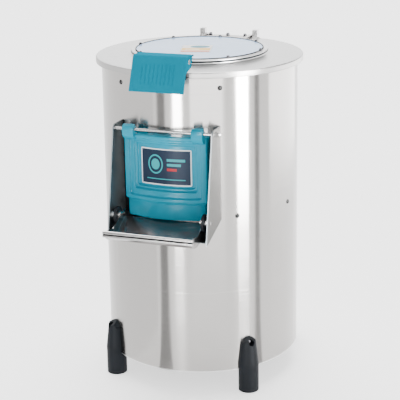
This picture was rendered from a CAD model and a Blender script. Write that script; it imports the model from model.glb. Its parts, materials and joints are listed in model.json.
import json
import math

import bmesh
import bpy
import numpy as np
from mathutils import Matrix, Vector


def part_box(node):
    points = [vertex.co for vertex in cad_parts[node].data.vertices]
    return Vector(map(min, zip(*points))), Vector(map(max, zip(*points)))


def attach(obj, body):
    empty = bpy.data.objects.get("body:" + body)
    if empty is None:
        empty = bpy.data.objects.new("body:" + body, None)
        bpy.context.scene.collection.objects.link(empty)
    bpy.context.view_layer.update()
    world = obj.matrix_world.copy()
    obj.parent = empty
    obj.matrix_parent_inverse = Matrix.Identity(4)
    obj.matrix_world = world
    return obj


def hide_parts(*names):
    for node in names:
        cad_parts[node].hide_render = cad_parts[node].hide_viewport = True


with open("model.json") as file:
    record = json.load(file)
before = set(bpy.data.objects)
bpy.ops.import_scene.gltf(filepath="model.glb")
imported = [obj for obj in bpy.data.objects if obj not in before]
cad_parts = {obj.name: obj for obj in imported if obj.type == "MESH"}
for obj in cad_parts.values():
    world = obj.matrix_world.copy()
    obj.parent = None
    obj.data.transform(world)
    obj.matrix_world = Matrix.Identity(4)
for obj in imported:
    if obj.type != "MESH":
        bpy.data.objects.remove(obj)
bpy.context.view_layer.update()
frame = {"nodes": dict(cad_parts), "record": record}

nodes = frame["nodes"]
mm = 0.001


def boxOf(node):
    # a node's lowest and highest corners in mm
    return [np.round(np.array(corner) / mm, 3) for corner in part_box(node)]


drumR = boxOf("drum_casing")[1][0]
rodMiddle = sum(boxOf("door_rod")) / 2
paneTop = boxOf("lid_pane")[1][2]
print("frame loaded,", len(nodes), "nodes")


# The camera stands to the right of the outlet and looks a little down on the lid
cameraSettings = {
    "place": (1.05076, -2.90616, 1.39957),
    "turn": 0.3312,      # to the left of +Y, radians
    "tilt": 0.2700,      # downwards, radians
    "roll": -0.0120,     # radians
    "lens": 110.40,      # for a sensor 36 mm wide
    "shift": (-0.05, -0.10),   # shares of the frame's width
}


def makeCamera(s):
    # the columns are right, up and backwards; the roll turns the first two about the third
    a, e, r = s["turn"], s["tilt"], s["roll"]
    forward = Vector((-math.sin(a) * math.cos(e), math.cos(a) * math.cos(e), -math.sin(e)))
    side = Vector((math.cos(a), math.sin(a), 0))
    top = side.cross(forward)
    right = side * math.cos(r) + top * math.sin(r)
    up = top * math.cos(r) - side * math.sin(r)
    data = bpy.data.cameras.new("camera")
    data.lens = s["lens"]
    data.sensor_width = 36
    data.shift_x, data.shift_y = s["shift"]
    data.clip_end = 100
    camera = bpy.data.objects.new("camera", data)
    bpy.context.scene.collection.objects.link(camera)
    back = -forward
    camera.matrix_world = Matrix((
        (right.x, up.x, back.x, s["place"][0]),
        (right.y, up.y, back.y, s["place"][1]),
        (right.z, up.z, back.z, s["place"][2]),
        (0, 0, 0, 1)))
    bpy.context.scene.camera = camera


makeCamera(cameraSettings)


def add(tree, kind, settings=None, **inputs):
    # one shader node; an input is a socket to link or a value, and i0, i1 name inputs by number
    made = tree.nodes.new(kind)
    for key, value in (settings or {}).items():
        setattr(made, key, value)
    for key, value in inputs.items():
        name = int(key[1:]) if key[0] == "i" and key[1:].isdigit() else key.replace("_", " ")
        socket = made.inputs[name]
        if isinstance(value, bpy.types.NodeSocket):
            tree.links.new(value, socket)
        else:
            socket.default_value = value
    return made


def sums(tree, operation, a, b=0.0, c=0.0):
    return add(tree, "ShaderNodeMath", {"operation": operation}, i0=a, i1=b, i2=c).outputs[0]


def ramp(tree, factor, stops):
    # colours along a factor, blended evenly between (place, colour) stops
    made = add(tree, "ShaderNodeValToRGB", Fac=factor)
    band = made.color_ramp
    while len(band.elements) < len(stops):
        band.elements.new(0.5)
    for element, (at, colour) in zip(band.elements, stops):
        element.position = at
        element.color = (*colour, 1)
    return made.outputs["Color"]


studio = {
    "sky": 0.8,
    "sun": (5.6, 55, (-0.15, 0.35)),   # strength, softness in degrees, lean of its rays along x and y
    "panels": [
        # angle from the front towards the right, distance, low edge, high edge, width, power
        (-5.5, 2.0, 0.0, 2.8, 0.34, 130),
        (66, 2.0, 0.0, 2.8, 0.48, 330),
        (27, 2.2, 0.0, 1.4, 1.5, 32),
        (133, 2.2, 0.0, 1.4, 2.6, 60),
        (-161, 4.0, 0.6, 3.2, 5.0, 115),
    ],
    "cards": [
        # angle on the drum that shows it, the way it is seen from there, reach, height, width,
        # share of the width at its foot, glow
        (-3.9, -26.8, 0.85, 1.6, 0.17, 0.42, 0.65),
        (53.6, 88.2, 0.90, 1.6, 0.115, 0.42, 0.75),
        (-36, -91, 1.0, 1.6, 3.2, 0.22, 2.55),
    ],
}


def makeStudio(s):
    world = bpy.data.worlds.new("studio")
    bpy.context.scene.world = world
    world.use_nodes = True
    tree = world.node_tree
    tree.nodes.clear()
    out = tree.nodes.new("ShaderNodeOutputWorld")
    sky = add(tree, "ShaderNodeBackground", Color=(1.0, 1.0, 1.0, 1), Strength=s["sky"])
    tree.links.new(sky.outputs[0], out.inputs[0])
    lamp = bpy.data.lights.new("softSun", "SUN")
    lamp.energy, lamp.angle = s["sun"][0], math.radians(s["sun"][1])
    stand = bpy.data.objects.new("softSun", lamp)
    stand.rotation_euler = Vector((*s["sun"][2], 1)).to_track_quat("Z", "Y").to_euler()
    bpy.context.scene.collection.objects.link(stand)
    for i, (angle, far, low, high, wide, power) in enumerate(s["panels"]):
        # a panel that only shows as a reflection
        lamp = bpy.data.lights.new("panel%d" % i, "AREA")
        lamp.shape, lamp.size, lamp.size_y, lamp.energy = "RECTANGLE", wide, high - low, power
        stand = bpy.data.objects.new("panel%d" % i, lamp)
        a = math.radians(angle)
        stand.location = (far * math.sin(a), -far * math.cos(a), (low + high) / 2)
        stand.rotation_euler = (math.pi / 2, 0, a)
        stand.visible_camera = False
        stand.visible_diffuse = False
        bpy.context.scene.collection.objects.link(stand)
    for i, card in enumerate(s["cards"]):
        makeCard(i, *card)


def makeCard(i, spot, way, reach, high, wide, foot, glow):
    # a card, bent at the floor towards the drum, that only shows as a reflection down the drum:
    # a dim narrow one as a dark line, and a bright wide one as a pale band
    a, b = math.radians(spot), math.radians(way)
    start = np.array((math.sin(a), -math.cos(a), 0)) * drumR * mm
    out = np.array((math.sin(b), -math.cos(b), 0)) * reach
    across = np.array((math.cos(b), math.sin(b), 0)) * wide / 2
    share = np.array([[foot], [1], [1]])   # the foot narrows towards the drum
    lift = 0.004   # the foot lies just over the floor
    line = start + out * np.array([[0.1], [1], [1]])
    line = line + np.array([[0, 0, lift], [0, 0, lift], [0, 0, high]])
    grid = np.stack([line - across * share, line + across * share], 1)
    card = meshOf("greyCard%d" % i, grid.reshape(-1, 3), quads(3, 2), smooth=False)
    card.data.materials.append(paper("cardPaper%d" % i, (0.01, 0.02), glow, 1.0, 0.5, 300.0, 2.0))
    card.visible_camera = card.visible_shadow = card.visible_diffuse = False


def graph(name):
    mat = bpy.data.materials.new(name)
    mat.use_nodes = True
    tree = mat.node_tree
    tree.nodes.clear()
    out = tree.nodes.new("ShaderNodeOutputMaterial")
    shader = tree.nodes.new("ShaderNodeBsdfPrincipled")
    tree.links.new(shader.outputs[0], out.inputs["Surface"])
    place = tree.nodes.new("ShaderNodeTexCoord")
    return mat, tree, shader, place.outputs["Object"]


def paper(name, tones, glow, rough=1.0, shine=0.0, scale=0.7, detail=3.0):
    # paper between two greys, which glows so that it stays evenly pale
    mat, tree, shader, place = graph(name)
    cloud = add(tree, "ShaderNodeTexNoise", Vector=place, Scale=scale, Detail=detail)
    tree.links.new(ramp(tree, cloud.outputs[0], [(0.3, (tones[0],) * 3), (0.7, (tones[1],) * 3)]),
                   shader.inputs["Base Color"])
    shader.inputs["Roughness"].default_value = rough
    shader.inputs["Specular IOR Level"].default_value = shine
    shader.inputs["Emission Color"].default_value = (1, 1, 1, 1)
    shader.inputs["Emission Strength"].default_value = glow
    return mat


def meshOf(name, points, faces, uv=None, smooth=True):
    # points is n by 3 in metres; faces is a list of index arrays; normals are turned outwards
    mesh = bpy.data.meshes.new(name)
    mesh.from_pydata(np.asarray(points, float).tolist(), [], [list(map(int, f)) for f in faces])
    if uv is not None:
        layer = mesh.uv_layers.new(name="UVMap")
        loops = np.zeros(len(mesh.loops), int)
        mesh.loops.foreach_get("vertex_index", loops)
        layer.data.foreach_set("uv", np.asarray(uv, float)[loops].ravel())
    shape = bmesh.new()
    shape.from_mesh(mesh)
    bmesh.ops.recalc_face_normals(shape, faces=shape.faces)
    shape.to_mesh(mesh)
    shape.free()
    mesh.polygons.foreach_set("use_smooth", np.full(len(mesh.polygons), smooth))
    mesh.update()
    piece = bpy.data.objects.new(name, mesh)
    bpy.context.scene.collection.objects.link(piece)
    return piece


def quads(rows, columns, first=0, closeRows=False, closeColumns=False):
    # the faces between neighbouring points of a grid, as one array
    i = np.arange(rows if closeRows else rows - 1)[:, None]
    j = np.arange(columns if closeColumns else columns - 1)[None, :]
    a = i * columns + j
    b = ((i + 1) % rows) * columns + j
    c = ((i + 1) % rows) * columns + (j + 1) % columns
    d = i * columns + (j + 1) % columns
    return np.stack([a, b, c, d], -1).reshape(-1, 4) + first


floorSettings = {
    "half": 14.0, "tones": (0.93, 0.95), "glow": 1.3,
    "wallRadius": 13.0, "wallHeight": 9.0, "wallSides": 96, "wallTones": (0.02, 0.03), "wallGlow": 3.4,
}


def makeFloor(s):
    h = s["half"]
    floor = meshOf("floor", [(-h, -h, 0), (h, -h, 0), (h, h, 0), (-h, h, 0)], [(0, 1, 2, 3)])
    floor.data.materials.append(paper("palePaper", s["tones"], s["glow"], 0.9))
    # a round wall far behind, which only closes the view above the floor's edge
    turn = np.linspace(0, 2 * np.pi, s["wallSides"], endpoint=False)
    ring = np.stack([np.cos(turn), np.sin(turn)], -1) * s["wallRadius"]
    grid = np.stack([np.column_stack([ring, np.full(s["wallSides"], z)])
                     for z in (-0.01, s["wallHeight"])])
    wall = meshOf("wall", grid.reshape(-1, 3), quads(2, s["wallSides"], closeColumns=True))
    wall.data.materials.append(paper("wallPaper", s["wallTones"], s["wallGlow"]))
    wall.visible_diffuse = wall.visible_glossy = wall.visible_transmission = wall.visible_shadow = False


makeFloor(floorSettings)
makeStudio(studio)
print("studio ready")


def spreadOf(tone, spread, low, high):
    # the two ends of a tone's slow changes, as stops of a ramp
    return [(low, tuple(c * (1 - spread) for c in tone)),
            (high, tuple(min(1.0, c * (1 + spread)) for c in tone))]


def between(tree, v, low, high):
    # 1 where a value is between two limits
    away = sums(tree, "ABSOLUTE", sums(tree, "SUBTRACT", v, (low + high) / 2))
    return sums(tree, "LESS_THAN", away, (high - low) / 2)


def inside(tree, place, limits):
    # 1 where |x|, y, z or the distance R from the drum's axis is between two limits in mm
    split = add(tree, "ShaderNodeSeparateXYZ", Vector=place)
    x, y, z = split.outputs
    mask = 1.0
    for axis, low, high in limits:
        if axis == "R":
            squares = [sums(tree, "MULTIPLY", axisValue, axisValue) for axisValue in (x, y)]
            v = sums(tree, "SQRT", sums(tree, "ADD", *squares))
        else:
            v = {"X": sums(tree, "ABSOLUTE", x), "Y": y, "Z": z}[axis]
        mask = sums(tree, "MULTIPLY", between(tree, v, low * mm, high * mm), mask)
    return mask


def sheetSteel(name, tone, stretch, rough, lines=0.25, spread=0.06, patches=(), drawn=(0.0, 0.0)):
    # rolled sheet: fine parallel brush lines, slow clouds in the gloss, and a few hair scratches;
    # patches are (limits, tone), and drawn is how far, and which way, the brushing draws its gloss out
    mat, tree, shader, place = graph(name)
    brushed = add(tree, "ShaderNodeMapping", Vector=place, Scale=stretch)
    grain = add(tree, "ShaderNodeTexNoise", Vector=brushed.outputs[0], Scale=1.0, Detail=4.0,
                Roughness=0.7)
    cloud = add(tree, "ShaderNodeTexNoise", Vector=place, Scale=7.0, Detail=4.0, Roughness=0.6)
    hair = add(tree, "ShaderNodeMapping", Vector=place, Rotation=(0.4, 0.3, 0.9),
               Scale=tuple(0.35 * v for v in stretch))
    scratch = add(tree, "ShaderNodeTexNoise", Vector=hair.outputs[0], Scale=1.0, Detail=1.0)
    mixed = sums(tree, "MULTIPLY_ADD", grain.outputs[0], 0.6,
                 sums(tree, "MULTIPLY", cloud.outputs[0], 0.4))
    colour = ramp(tree, mixed, spreadOf(tone, spread, 0.32, 0.68))
    for limits, other in patches:
        mixer = add(tree, "ShaderNodeMix", {"data_type": "RGBA"}, Factor=inside(tree, place, limits))
        tree.links.new(colour, mixer.inputs[6])
        tree.links.new(ramp(tree, mixed, spreadOf(other, spread, 0.32, 0.68)), mixer.inputs[7])
        colour = mixer.outputs[2]
    tree.links.new(colour, shader.inputs["Base Color"])
    gloss = add(tree, "ShaderNodeMapRange", Value=mixed, From_Min=0.3, From_Max=0.7,
                To_Min=rough - 0.05, To_Max=rough + 0.06)
    nick = add(tree, "ShaderNodeMapRange", Value=scratch.outputs[0], From_Min=0.70, From_Max=0.76,
               To_Min=0.0, To_Max=0.08)
    tree.links.new(sums(tree, "ADD", gloss.outputs[0], nick.outputs[0]), shader.inputs["Roughness"])
    bump = add(tree, "ShaderNodeBump", Strength=lines, Distance=0.00015, Height=grain.outputs[0])
    tree.links.new(bump.outputs[0], shader.inputs["Normal"])
    shader.inputs["Metallic"].default_value = 1.0
    shader.inputs["Anisotropic"].default_value = drawn[0]
    shader.inputs["Anisotropic Rotation"].default_value = drawn[1]
    return mat


def mouldedPlastic(name, tone, rough, grainSize=0.0007, grainDepth=0.00003, spread=0.05, shine=0.25):
    # moulded skin: slow tint changes, a fine grain, and handling marks in the gloss
    mat, tree, shader, place = graph(name)
    cloud = add(tree, "ShaderNodeTexNoise", Vector=place, Scale=14.0, Detail=4.0, Roughness=0.55)
    skin = add(tree, "ShaderNodeTexNoise", Vector=place, Scale=1.0 / grainSize, Detail=2.0)
    tree.links.new(ramp(tree, cloud.outputs[0], spreadOf(tone, spread, 0.3, 0.7)),
                   shader.inputs["Base Color"])
    gloss = add(tree, "ShaderNodeMapRange", Value=cloud.outputs[0], From_Min=0.3, From_Max=0.7,
                To_Min=rough - 0.03, To_Max=rough + 0.05)
    tree.links.new(gloss.outputs[0], shader.inputs["Roughness"])
    bump = add(tree, "ShaderNodeBump", Strength=0.6, Distance=grainDepth, Height=skin.outputs[0])
    tree.links.new(bump.outputs[0], shader.inputs["Normal"])
    shader.inputs["Specular IOR Level"].default_value = shine
    return mat


def roughCasting(name, tone, metal, rough, grit, depth, spread=0.18):
    # grains of a coating or a sand casting, as cells with bright and dark ones among them
    mat, tree, shader, place = graph(name)
    cells = add(tree, "ShaderNodeTexVoronoi", Vector=place, Scale=1.0 / grit)
    cloud = add(tree, "ShaderNodeTexNoise", Vector=place, Scale=30.0, Detail=5.0, Roughness=0.6)
    shade = sums(tree, "MULTIPLY_ADD", cells.outputs["Distance"], 0.6,
                 sums(tree, "MULTIPLY", cloud.outputs[0], 0.5))
    tree.links.new(ramp(tree, shade, spreadOf(tone, spread, 0.25, 0.75)), shader.inputs["Base Color"])
    gloss = add(tree, "ShaderNodeMapRange", Value=cloud.outputs[0], From_Min=0.3, From_Max=0.7,
                To_Min=rough - 0.06, To_Max=rough + 0.08)
    tree.links.new(gloss.outputs[0], shader.inputs["Roughness"])
    bump = add(tree, "ShaderNodeBump", Strength=0.7, Distance=depth, Height=cells.outputs["Distance"])
    tree.links.new(bump.outputs[0], shader.inputs["Normal"])
    shader.inputs["Metallic"].default_value = metal
    return mat


def paneSheet(name):
    # clear sheet gone slightly milky, with faint wiping marks
    mat, tree, shader, place = graph(name)
    wipe = add(tree, "ShaderNodeMapping", Vector=place, Scale=(6, 60, 6), Rotation=(0, 0, 0.5))
    marks = add(tree, "ShaderNodeTexNoise", Vector=wipe.outputs[0], Scale=2.0, Detail=5.0, Roughness=0.7)
    cloud = add(tree, "ShaderNodeTexNoise", Vector=place, Scale=9.0, Detail=3.0)
    tree.links.new(ramp(tree, cloud.outputs[0], [(0.3, (0.44, 0.64, 0.92)), (0.7, (0.48, 0.68, 0.96))]),
                   shader.inputs["Base Color"])
    gloss = add(tree, "ShaderNodeMapRange", Value=marks.outputs[0], From_Min=0.35, From_Max=0.7,
                To_Min=0.08, To_Max=0.22)
    tree.links.new(gloss.outputs[0], shader.inputs["Roughness"])
    milk = add(tree, "ShaderNodeMapRange", Value=marks.outputs[0], From_Min=0.3, From_Max=0.7,
               To_Min=0.80, To_Max=0.88)
    tree.links.new(milk.outputs[0], shader.inputs["Alpha"])
    shader.inputs["Specular IOR Level"].default_value = 0.3
    shader.inputs["IOR"].default_value = 1.49
    return mat


teal = (0.0, 0.265, 0.385)
steelTone = (0.33, 0.32, 0.31)
finishes = {
    "brushed_steel": sheetSteel("drumSheet", steelTone, (3, 3, 900), 0.17, 0.08, 0.03,
                                drawn=(0.92, 0.25)),
    "cheek_steel": sheetSteel("foldedSheet", (0.56, 0.56, 0.56), (600, 8, 8), 0.27, 0.2),
    "bright_steel": sheetSteel("turnedSteel", (0.72, 0.71, 0.70), (250, 250, 250), 0.2, 0.12),
    "dark_steel": sheetSteel("zincPlate", (0.24, 0.24, 0.25), (120, 120, 120), 0.36, 0.2, 0.15),
    "teal_plastic": mouldedPlastic("tealMoulding", teal, 0.17, shine=0.09),
    "dark_plastic": mouldedPlastic("darkMoulding", (0.004, 0.006, 0.009), 0.50, 0.0011, 0.00008, 0.2,
                                   0.1),
    "rubber": mouldedPlastic("sealRubber", (0.022, 0.022, 0.024), 0.62, 0.0009, 0.00006, 0.2),
    "clear_plastic": paneSheet("milkyPane"),
    "label_film": mouldedPlastic("labelFilm", (0.03, 0.05, 0.09), 0.35),
    "abrasive": roughCasting("gritLining", (0.16, 0.155, 0.15), 0.0, 0.8, 0.0016, 0.0006, 0.35),
    "cast_aluminium": roughCasting("castAluminium", (0.42, 0.42, 0.43), 1.0, 0.45, 0.0013, 0.0002),
    "cast_iron": roughCasting("paintedCasting", (0.14, 0.15, 0.16), 0.0, 0.5, 0.002, 0.0002),
    "painted_motor": mouldedPlastic("motorEnamel", (0.045, 0.10, 0.17), 0.35, 0.0016, 0.00006, 0.12),
    "motor_steel": sheetSteel("machinedSteel", (0.45, 0.45, 0.46), (90, 90, 900), 0.3, 0.2),
    "brass": sheetSteel("turnedBrass", (0.70, 0.50, 0.20), (200, 200, 200), 0.28, 0.15),
    "green_plastic": mouldedPlastic("greenButton", (0.02, 0.30, 0.07), 0.3),
    "red_plastic": mouldedPlastic("redButton", (0.55, 0.02, 0.02), 0.3),
}
nodeFinishes = {   # nodes whose own finish differs from the rest of their slot
    # the patch is all but the outer face of each cheek
    "cheeks": sheetSteel("cheekSheet", (0.088, 0.088, 0.085), (12, 40, 40), 0.34, 0.04, 0.03,
                         [([("X", 0, boxOf("cheeks")[1][0] - 0.2)], (0.135, 0.155, 0.165))]),
    "outlet_floor": sheetSteel("outletSheet", (0.08, 0.09, 0.095), (12, 40, 40), 0.30, 0.04, 0.04),
    # the tray's floor and the shade under its lip are patches
    "tray_pan": sheetSteel("traySheet", (0.46, 0.455, 0.45), (12, 40, 40), 0.16, 0.04, 0.03,
                           [([("X", 0, 106.2), ("Y", -374, -200)], (0.19, 0.165, 0.162)),
                            ([("Z", 453.2, 456.8), ("Y", -395, -376)], (0.02, 0.02, 0.02))]),
    "door_rod": sheetSteel("rodSteel", (0.33, 0.33, 0.33), (250, 250, 250), 0.24, 0.1),
    "hinge_base": sheetSteel("hingePlate", (0.40, 0.395, 0.39), (60, 60, 60), 0.34, 0.12, 0.12),
    "foot_bolts": sheetSteel("darkBolts", (0.03, 0.03, 0.032), (200, 200, 200), 0.36, 0.1),
    "latch_keeper": sheetSteel("keeperSheet", (0.09, 0.09, 0.092), (60, 60, 60), 0.34, 0.1, 0.12),
    "latch_hook": sheetSteel("hookSheet", (0.07, 0.07, 0.072), (60, 60, 60), 0.34, 0.1, 0.12),
    "drum_screws": sheetSteel("darkScrews", (0.022, 0.022, 0.022), (200, 200, 200), 0.34, 0.1),
    "pane_screws_set": sheetSteel("darkDomes", (0.06, 0.06, 0.065), (200, 200, 200), 0.28, 0.1),
    "hinge_nuts": sheetSteel("darkNuts", (0.07, 0.07, 0.075), (200, 200, 200), 0.30, 0.1),
}
coverFinish = sheetSteel("coverSheet", (0.45, 0.45, 0.45), (40, 40, 40), 0.31, 0.05, 0.03,
                         [([("R", 262.6, 280)], (0.31, 0.305, 0.30))])
ringFinish = sheetSteel("lidRingSheet", (0.50, 0.50, 0.50), (40, 40, 40), 0.30, 0.05, 0.03)
beadFinish = mouldedPlastic("beadRubber", (0.012, 0.012, 0.014), 0.6, 0.0009, 0.00003, 0.2, shine=0.1)
handleFinish = mouldedPlastic("handleMoulding", (0.0, 0.19, 0.285), 0.24, shine=0.0)
slotOf = {row["node"]: row["material_slot"] for row in frame["record"]["subparts"]}
for nodeName, thing in nodes.items():
    thing.data.materials.clear()
    thing.data.materials.append(nodeFinishes.get(nodeName) or finishes[slotOf[nodeName]])
print("finishes on", len(nodes), "nodes")


def dress(piece, body, slotName, *replaced, finish=None):
    # gives a new piece its finish and tells the frame its body, its slot and the nodes it stands for
    piece.data.materials.append(finish or finishes[slotName])
    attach(piece, body)
    if replaced:
        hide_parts(*replaced)
    return piece


def slabOf(name, front, back, uv=None):
    # two grids of the same size, joined round their edges into one closed skin
    rows, columns = front.shape[:2]
    n = rows * columns
    points = np.concatenate([front.reshape(-1, 3), back.reshape(-1, 3)]) * mm
    edge = np.concatenate([
        np.arange(columns), np.arange(1, rows) * columns + columns - 1,
        (rows - 1) * columns + np.arange(columns - 2, -1, -1), np.arange(rows - 2, 0, -1) * columns])
    following = np.roll(edge, -1)
    rim = np.stack([edge, following, following + n, edge + n], -1)
    faces = np.concatenate([quads(rows, columns), quads(rows, columns, n)[:, ::-1], rim])
    if uv is not None:
        uv = np.concatenate([uv.reshape(-1, 2)] * 2)
    return meshOf(name, points, faces, uv)


def lathe(name, profile, steps=240):
    # a closed profile of radius and height, turned about the drum's axis
    profile = np.asarray(profile, float)
    turn = np.linspace(0, 2 * np.pi, steps, endpoint=False)
    r, z = profile[None, :, 0], profile[None, :, 1]
    grid = np.stack([r * np.sin(turn)[:, None], -r * np.cos(turn)[:, None],
                     np.repeat(z, steps, 0)], -1)
    return meshOf(name, grid.reshape(-1, 3) * mm,
                  quads(steps, len(profile), closeRows=True, closeColumns=True))


def arc(cx, cy, r, a1, a2, steps=6):
    t = np.radians(np.linspace(a1, a2, steps + 1))
    return np.stack([cx + r * np.cos(t), cy + r * np.sin(t)], -1)


def soften(piece, width, segments=3, angle=35):
    bevel = piece.modifiers.new("edges", "BEVEL")
    bevel.width = width * mm
    bevel.segments = segments
    bevel.limit_method = "ANGLE"
    bevel.angle_limit = math.radians(angle)
    return piece


def fineSteps(low, high, count, edges=(), reach=5.0, extra=11, closest=0.25):
    # even steps, with closer ones about the named edges, none nearer than the closest allowed
    parts = [np.linspace(low, high, count)]
    parts += [np.linspace(max(low, e - reach), min(high, e + reach), extra) for e in edges]
    every = np.unique(np.round(np.concatenate(parts), 3))
    keep = np.concatenate([[True], np.diff(every) > closest])
    keep[-1] = True
    return every[keep]


def smoothStep(v, low, high):
    t = np.clip((v - low) / (high - low), 0, 1)
    return t * t * (3 - 2 * t)


# The cover: a pressed disc with a raised collar, whose neck, collar, edge and skirt are rounded
coverLow, coverHigh = boxOf("top_cover")
ringLow, ringHigh = boxOf("lid_ring")
cover = {
    "mouth": ringHigh[0] - 24, "collar": ringHigh[0] - 1, "rim": coverHigh[0],
    "top": coverHigh[2] - 6, "collarTop": coverHigh[2], "low": coverLow[2] + 1, "skirt": coverLow[2],
    "sheet": 2, "rimRound": 3.5, "neckRound": 3, "collarRound": 1.6, "collarFoot": (16, 4.2),
}


def makeCover(s):
    t, n, q, c = (s[k] for k in ("sheet", "neckRound", "rimRound", "collarRound"))
    wide, tall = s["collarFoot"]
    top, rim, mouth, collar, high, low = (
        s[k] for k in ("top", "rim", "mouth", "collar", "collarTop", "low"))
    outer = np.concatenate([
        arc(mouth + n, high - n, n, 180, 90), arc(collar - c, high - c, c, 90, 0),
        arc(0, 0, 1, 180, 270, 10) * (wide, tall) + (collar + wide, top + tall),
        [[rim - 60, top], [rim - 20, top]], arc(rim - q, top - q, q, 90, 0),
        arc(rim - 1, s["skirt"] + 1, 1, 0, -180, 6)])
    inner = np.concatenate([
        arc(rim - q, top - q, q - t, 0, 90, 4),
        [[rim - 60, top - t], [collar - t + 0.3, top - t], [collar - t, top - t + 0.3],
         [collar - t, high - t - 0.3], [collar - t - 0.3, high - t], [mouth + t + 0.3, high - t],
         [mouth + t, high - t - 0.3]],
        arc(mouth + 1, low + 1, 1, 0, -180, 6)])
    piece = lathe("coverPressing", np.concatenate([outer, inner]))
    return dress(piece, "base", "brushed_steel", "top_cover", finish=coverFinish)


makeCover(cover)

# The lid's ring with its rounded shoulder, the glazing gasket round the pane, and the edge trim
lidRing = {
    "inner": ringHigh[0] - 20, "pane": 160.6, "seat": ringHigh[0] - 11, "outer": ringHigh[0],
    "low": ringLow[2], "bed": ringHigh[2], "shoulder": ringHigh[2] + 3.5, "lipTop": paneTop + 1.5,
    "sheet": 1.5, "round": 2.2, "gasket": 1.0, "trimRound": 2.0, "trimOut": 0.9, "trimRise": 1.3,
}


def makeLidRing(s):
    # each is a closed section turned about the drum's axis
    a, b, t, q = s["inner"], s["outer"], s["sheet"], s["round"]
    ring = np.concatenate([
        [[a, s["low"]], [a, s["bed"]], [s["seat"] + 0.05, s["bed"]],
         [s["seat"] + 0.05, s["shoulder"] - 0.4], [s["seat"] + 0.45, s["shoulder"]]],
        arc(b - q, s["shoulder"] - q, q, 90, 0),
        [[b, s["low"]], [b - t, s["low"]], [b - t, s["bed"] - t], [a + t, s["bed"] - t],
         [a + t, s["low"]]]])
    dress(lathe("lidRingPressing", ring), "lid", "bright_steel", "lid_ring", finish=ringFinish)
    r = (s["seat"] - s["pane"]) / 2
    lip = np.concatenate([
        [[a, s["bed"] + s["gasket"] - 0.05], [s["pane"], s["bed"] + s["gasket"] - 0.05]],
        arc(s["pane"] + r, s["lipTop"] - r, r, 180, 0, 8), [[s["seat"], s["bed"]], [a, s["bed"]]]])
    dress(lathe("gasketBead", lip), "lid", "rubber", "pane_gasket", finish=beadFinish)
    k = s["trimRound"]
    trim = arc(b - k + s["trimOut"], s["low"] + s["trimRise"], k, 0, 330, 11)
    dress(lathe("lidTrim", trim), "lid", "rubber", finish=beadFinish)


makeLidRing(lidRing)


# The door: a moulded shell bent round the drum, with a stepped field and a lower apron
doorLow, doorHigh = boxOf("door_panel")
door = {
    "back": drumR + 3, "face": drumR + 27, "apronFace": drumR + 21,
    "low": doorLow[2], "shoulder": doorLow[2] + 44, "high": rodMiddle[2] - 10.4,
    "half": doorHigh[0], "apronHalf": doorHigh[0] - 5.5, "corner": 7.0, "edgeRound": 3.5,
    # each step's half width, and its low and high edge above the door's foot
    "steps": [(94.0, 54.0, 202.0), (82.0, 70.0, 194.0), (76.0, 77.0, 187.0)],
    "stepDepth": 7.0, "stepCorner": 7.0, "stepBlend": (-0.2, 4.16),   # from the step's edge inwards
    "outlineBlend": 3, "faceBlend": 4,   # to each side of the apron's shoulder
}


def makeDoor(s):
    # radius = face, less a soft step inside each rounded rectangle, less a round along the outline
    steps = [(w, s["low"] + a, s["low"] + b) for w, a, b in s["steps"]]
    zs = fineSteps(s["low"], s["high"], 46,
                   [s["low"], s["shoulder"], s["high"]] + [v for _, a, b in steps for v in (a, b)])
    xs = fineSteps(0, s["half"], 24, [s["half"]] + [w for w, _, _ in steps], 5.0, 13) / s["half"]
    across = np.concatenate([-xs[::-1], xs[1:]])
    u, z = np.meshgrid(across, zs)
    overApron = smoothStep(z, s["shoulder"] - s["outlineBlend"], s["shoulder"] + s["outlineBlend"])
    half = s["apronHalf"] + (s["half"] - s["apronHalf"]) * overApron
    c = s["corner"]
    nearTop = np.clip(c - (s["high"] - z), 0, c)
    nearLow = np.clip(c - (z - s["low"]), 0, c)
    half = half - (c - np.sqrt(c * c - nearTop ** 2)) - (c - np.sqrt(c * c - nearLow ** 2))
    x = u * half
    overApron = smoothStep(z, s["shoulder"] - s["faceBlend"], s["shoulder"] + s["faceBlend"])
    radius = s["apronFace"] + (s["face"] - s["apronFace"]) * overApron
    k = s["stepCorner"]
    for w, low, high in steps:
        # signed distance to a rounded rectangle, positive inside
        qx = np.abs(x) - (w - k)
        qz = np.abs(z - (low + high) / 2) - ((high - low) / 2 - k)
        outside = np.hypot(np.maximum(qx, 0), np.maximum(qz, 0)) + np.minimum(np.maximum(qx, qz), 0) - k
        radius = radius - s["stepDepth"] * smoothStep(-outside, *s["stepBlend"])
    e = s["edgeRound"]
    inset = np.minimum(np.minimum(half - np.abs(x), s["high"] - z), z - s["low"])
    inset = np.clip(inset, 0, e)
    front = radius - e + np.sqrt(np.maximum(e * e - (e - inset) ** 2, 0))
    back = np.full_like(front, s["back"])
    grids = [np.stack([x, -np.sqrt(r * r - x * x), z], -1) for r in (front, back)]
    return dress(slabOf("doorMoulding", *grids), "door", "teal_plastic", "door_panel")


makeDoor(door)

hooks = {
    "rod": rodMiddle[1:], "middle": 88, "width": 28, "round": 1.6,
    "outer": 12.5, "backSpan": (70, 196), "frontSpan": (-28, 20), "bore": 4.15, "boreSpan": (8, -278),
    # y and z from the rod, down the back, along the foot and up to the front
    "foot": [(-11.0, -13.0), (-7.5, -17.5), (3.0, -26.0), (13.0, -26.0), (12.2, -8.0)],
}


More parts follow.
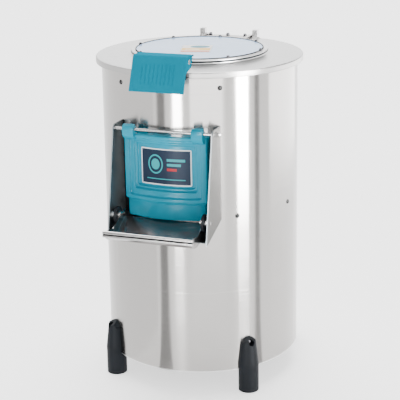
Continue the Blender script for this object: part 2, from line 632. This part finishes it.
def makeHooks(s):
    # a C profile round the rod, open up and back, whose front runs down on to the door's face
    profile = np.concatenate([
        arc(0, 0, s["outer"], *s["backSpan"], 14), s["foot"],
        arc(0, 0, s["outer"], *s["frontSpan"], 5), arc(0, 0, s["bore"], *s["boreSpan"], 22)])
    profile = profile + s["rod"]
    n = len(profile)
    for i, x in enumerate((-s["middle"], s["middle"])):
        ends = [np.column_stack([np.full(n, x + side * s["width"] / 2), profile]) for side in (-1, 1)]
        ring = np.arange(n)
        walls = np.stack([ring, np.roll(ring, -1), np.roll(ring, -1) + n, ring + n], -1)
        faces = [list(w) for w in walls] + [list(range(n)), list(range(2 * n - 1, n - 1, -1))]
        piece = meshOf("doorHook%d" % (i + 1), np.concatenate(ends) * mm, faces)
        soften(piece, s["round"], 3, 50)
        dress(piece, "door", "teal_plastic")


makeHooks(hooks)


# The handle: one bent wall with side cheeks that narrow downwards, and grooves in its grip
handleHigh = boxOf("latch_handle")[1]
handle = {
    "half": handleHigh[0] + 2.5, "middle": -1.0, "wall": 3.2, "sideRound": 4.0,
    # y and z, from the upper back edge of the moulding
    "back": handleHigh[1:], "topFront": (-38.8, 0.0), "low": (-69.6, -80.8), "topRound": 6.5, "bend": 1.25,
    "backLine": [(0.0, 0.0), (-0.6, -10.6), (-8.0, -28.6), (-45.6, -38.6), (-61.6, -80.8)],
    "grooves": 10, "gripHalf": 50.0, "grooveDepth": 1.3, "grooveFlank": (0.55, 0.95),
    "gripTop": 0.44, "gripLow": 0.86, "gripFade": 0.03,   # shares of the way down the face
    "rows": 64, "sideSteps": 9, "faceSteps": 50, "gripSteps": 150,
}


def evenLine(points, steps):
    # evenly spaced points on an open line
    points = np.asarray(points, float)
    gone = np.concatenate([[0], np.cumsum(np.hypot(*np.diff(points, axis=0).T))])
    t = np.linspace(0, gone[-1], steps)
    return np.stack([np.interp(t, gone, points[:, k]) for k in range(2)], -1), t / gone[-1]


def makeHandle(s):
    # rows run down the outside line, columns from one free side edge across the face to the other
    q = s["topRound"]
    front, low = s["back"] + s["topFront"], s["back"] + s["low"]
    lean = math.degrees(math.atan2(front[0] - low[0], front[1] - low[1]))
    bend = arc(front[0] + q * s["bend"], front[1] - q, q, 90, 180 - lean, 8)
    line, t = evenLine(np.concatenate([[s["back"]], bend, [low]]), s["rows"])
    behind, _ = evenLine(s["back"] + s["backLine"], s["rows"])
    step = np.gradient(line, axis=0)
    outward = np.stack([-step[:, 1], step[:, 0]], -1)
    outward /= np.hypot(*outward.T)[:, None]
    outward *= np.sign(-outward[-1, 0])
    r = s["sideRound"]
    flat = np.unique(np.concatenate([
        np.linspace(-s["half"] + r, s["half"] - r, s["faceSteps"]),
        np.linspace(-s["gripHalf"] - 1, s["gripHalf"] + 1, s["gripSteps"])]))
    corner = np.radians(np.linspace(0, 90, 7))[1:]
    n = s["sideSteps"]
    side = np.linspace(0, 1, n + 1)[:-1]
    # each column is (x, depth behind the face, share of the way to the back line)
    xs = np.concatenate([np.full(n, -s["half"]), -s["half"] + r - r * np.cos(corner), flat[1:-1],
                         (s["half"] - r + r * np.cos(corner))[::-1], np.full(n, s["half"])])
    depth = np.concatenate([np.zeros(n), r - r * np.sin(corner), np.zeros(len(flat) - 2),
                            (r - r * np.sin(corner))[::-1], np.zeros(n)])
    share = np.concatenate([1 - side, np.zeros(2 * len(corner) + len(flat) - 2), 1 - side[::-1]])
    start = line - outward * r   # where the round at each side ends
    points = np.zeros((len(line), len(xs), 3))
    points[:, :, 0] = xs[None, :]
    inGrip = smoothStep(t, s["gripTop"], s["gripTop"] + s["gripFade"])
    inGrip = inGrip * (1 - smoothStep(t, s["gripLow"] - s["gripFade"], s["gripLow"]))
    pitch = 2 * s["gripHalf"] / s["grooves"]
    wave = np.abs(((xs + s["gripHalf"]) / pitch) % 1 - 0.5) * 2
    groove = smoothStep(wave, *s["grooveFlank"]) * (np.abs(xs) < s["gripHalf"] - pitch * 0.3)
    sunk = inGrip[:, None] * groove[None, :] * s["grooveDepth"] + depth[None, :]
    for k in (0, 1):
        face = line[:, None, k] - outward[:, None, k] * sunk
        wall = start[:, None, k] * (1 - share[None, :]) + behind[:, None, k] * share[None, :]
        points[:, :, 1 + k] = np.where(share[None, :] > 0, wall, face)
    # the inner skin lies one wall thickness behind the outer one, along its own normals
    normal = np.cross(np.gradient(points, axis=1), np.gradient(points, axis=0))
    normal /= np.linalg.norm(normal, axis=2)[:, :, None] + 1e-9
    middle = normal[len(line) // 2, len(xs) // 2]
    normal *= np.sign(middle[1])   # inwards at the face is towards +Y
    points[:, :, 0] += s["middle"]
    return dress(slabOf("latchHandleShell", points, points + normal * s["wall"]),
                 "latch", "teal_plastic", "latch_handle", finish=handleFinish)


makeHandle(handle)
print("cover, door, hooks and handle made")


def oval(tree, u, v, cx, cy, rx, ry):
    # 1 inside an oval of the label's own coordinates
    dx = sums(tree, "DIVIDE", sums(tree, "SUBTRACT", u, cx), rx)
    dy = sums(tree, "DIVIDE", sums(tree, "SUBTRACT", v, cy), ry)
    away = sums(tree, "ADD", sums(tree, "MULTIPLY", dx, dx), sums(tree, "MULTIPLY", dy, dy))
    return sums(tree, "LESS_THAN", away, 1.0)


def bar(tree, u, v, x1, x2, y1, y2):
    # 1 inside a rectangle
    return sums(tree, "MULTIPLY", between(tree, u, x1, x2), between(tree, v, y1, y2))


def printedFilm(name, ground, marks):
    # a ground colour, and marks laid over it in turn; ink is a little duller than bare film
    mat, tree, shader, place = graph(name)
    uv = add(tree, "ShaderNodeUVMap", {"uv_map": "UVMap"}).outputs[0]
    split = add(tree, "ShaderNodeSeparateXYZ", Vector=uv)
    u, v = split.outputs[0], split.outputs[1]
    dots = add(tree, "ShaderNodeTexNoise", Vector=place, Scale=900.0, Detail=2.0)
    colour = ramp(tree, dots.outputs[0], [(0.3, tuple(c * 0.92 for c in ground)), (0.7, ground)])
    for shape, size, ink in marks:
        mask = (oval if shape == "oval" else bar)(tree, u, v, *size)
        mixer = add(tree, "ShaderNodeMix", {"data_type": "RGBA"}, Factor=mask)
        tree.links.new(colour, mixer.inputs[6])
        mixer.inputs[7].default_value = (*ink, 1)
        colour = mixer.outputs[2]
    tree.links.new(colour, shader.inputs["Base Color"])
    gloss = add(tree, "ShaderNodeMapRange", Value=dots.outputs[0], From_Min=0.3, From_Max=0.7,
                To_Min=0.28, To_Max=0.37)
    tree.links.new(gloss.outputs[0], shader.inputs["Roughness"])
    bump = add(tree, "ShaderNodeBump", Strength=0.2, Distance=0.00003, Height=dots.outputs[0])
    tree.links.new(bump.outputs[0], shader.inputs["Normal"])
    shader.inputs["Specular IOR Level"].default_value = 0.06
    return mat


white, navy, red = (0.93, 0.95, 0.97), (0.014, 0.026, 0.050), (0.50, 0.02, 0.03)
paleTeal = (0.02, 0.36, 0.40)
labelLow, labelHigh = boxOf("door_label")
doorPrint = {
    "radius": drumR + 6, "thick": 0.4, "half": labelHigh[0], "low": labelLow[2], "high": labelHigh[2],
    "corner": 3.5,
    "marks": [
        ("bar", (0.022, 0.978, 0.032, 0.968), navy),
        ("oval", (0.30, 0.57, 0.150, 0.265), paleTeal),
        ("oval", (0.30, 0.57, 0.125, 0.225), navy),
        ("oval", (0.30, 0.57, 0.085, 0.150), paleTeal),
        ("bar", (0.53, 0.88, 0.665, 0.735), paleTeal),
        ("bar", (0.53, 0.80, 0.535, 0.605), paleTeal),
        ("bar", (0.53, 0.72, 0.405, 0.475), red),
        ("bar", (0.12, 0.88, 0.155, 0.180), paleTeal),
    ],
}


def makeDoorPrint(s):
    zs = np.unique(np.concatenate([np.linspace(s["low"], s["high"], 24),
                                   np.linspace(s["low"], s["low"] + s["corner"], 7),
                                   np.linspace(s["high"] - s["corner"], s["high"], 7)]))
    u, z = np.meshgrid(np.linspace(-1, 1, 41), zs)
    c = s["corner"]
    near = np.maximum(np.clip(c - (s["high"] - z), 0, c), np.clip(c - (z - s["low"]), 0, c))
    x = u * (s["half"] - (c - np.sqrt(c * c - near ** 2)))
    grids = [np.stack([x, -np.sqrt(r * r - x * x), z], -1)
             for r in (s["radius"] + s["thick"], s["radius"])]
    uv = np.stack([(x + s["half"]) / (2 * s["half"]), (z - s["low"]) / (s["high"] - s["low"])], -1)
    piece = slabOf("doorPrint", *grids, uv=uv)
    return dress(piece, "door", "label_film", "door_label",
                 finish=printedFilm("doorPrintInk", white, s["marks"]))


makeDoorPrint(doorPrint)

lidPrint = {
    "centre": sum(boxOf("lid_label")) / 2, "turn": 15.0, "half": (39.0, 48.0),
    "low": paneTop, "thick": 0.4, "corner": 5.0,
    "marks": [
        ("bar", (0.04, 0.96, 0.03, 0.56), (0.80, 0.46, 0.06)),
        ("bar", (0.04, 0.96, 0.03, 0.20), (0.70, 0.16, 0.04)),
        ("bar", (0.04, 0.96, 0.20, 0.27), (0.82, 0.82, 0.80)),
        ("oval", (0.60, 0.76, 0.32, 0.17), (0.01, 0.19, 0.25)),
        ("bar", (0.15, 0.62, 0.36, 0.44), (0.82, 0.80, 0.74)),
    ],
}


def makeLidPrint(s):
    w, h = s["half"]
    c = s["corner"]
    vs = np.unique(np.concatenate([np.linspace(-h, h, 12), np.linspace(-h, -h + c, 7),
                                   np.linspace(h - c, h, 7)]))
    u, y = np.meshgrid(np.linspace(-1, 1, 15), vs)
    near = np.clip(c - (h - np.abs(y)), 0, c)
    x = u * (w - (c - np.sqrt(c * c - near ** 2)))
    uv = np.stack([(x + w) / (2 * w), (y + h) / (2 * h)], -1)
    a = math.radians(s["turn"])
    px = s["centre"][0] + x * math.cos(a) - y * math.sin(a)
    py = s["centre"][1] + x * math.sin(a) + y * math.cos(a)
    grids = [np.stack([px, py, np.full_like(px, z)], -1) for z in (s["low"] + s["thick"], s["low"])]
    piece = slabOf("lidPrint", *grids, uv=uv)
    return dress(piece, "lid", "label_film", "lid_label",
                 finish=printedFilm("lidPrintInk", (0.82, 0.82, 0.80), s["marks"]))


makeLidPrint(lidPrint)
print("prints made")


print("boxes written")
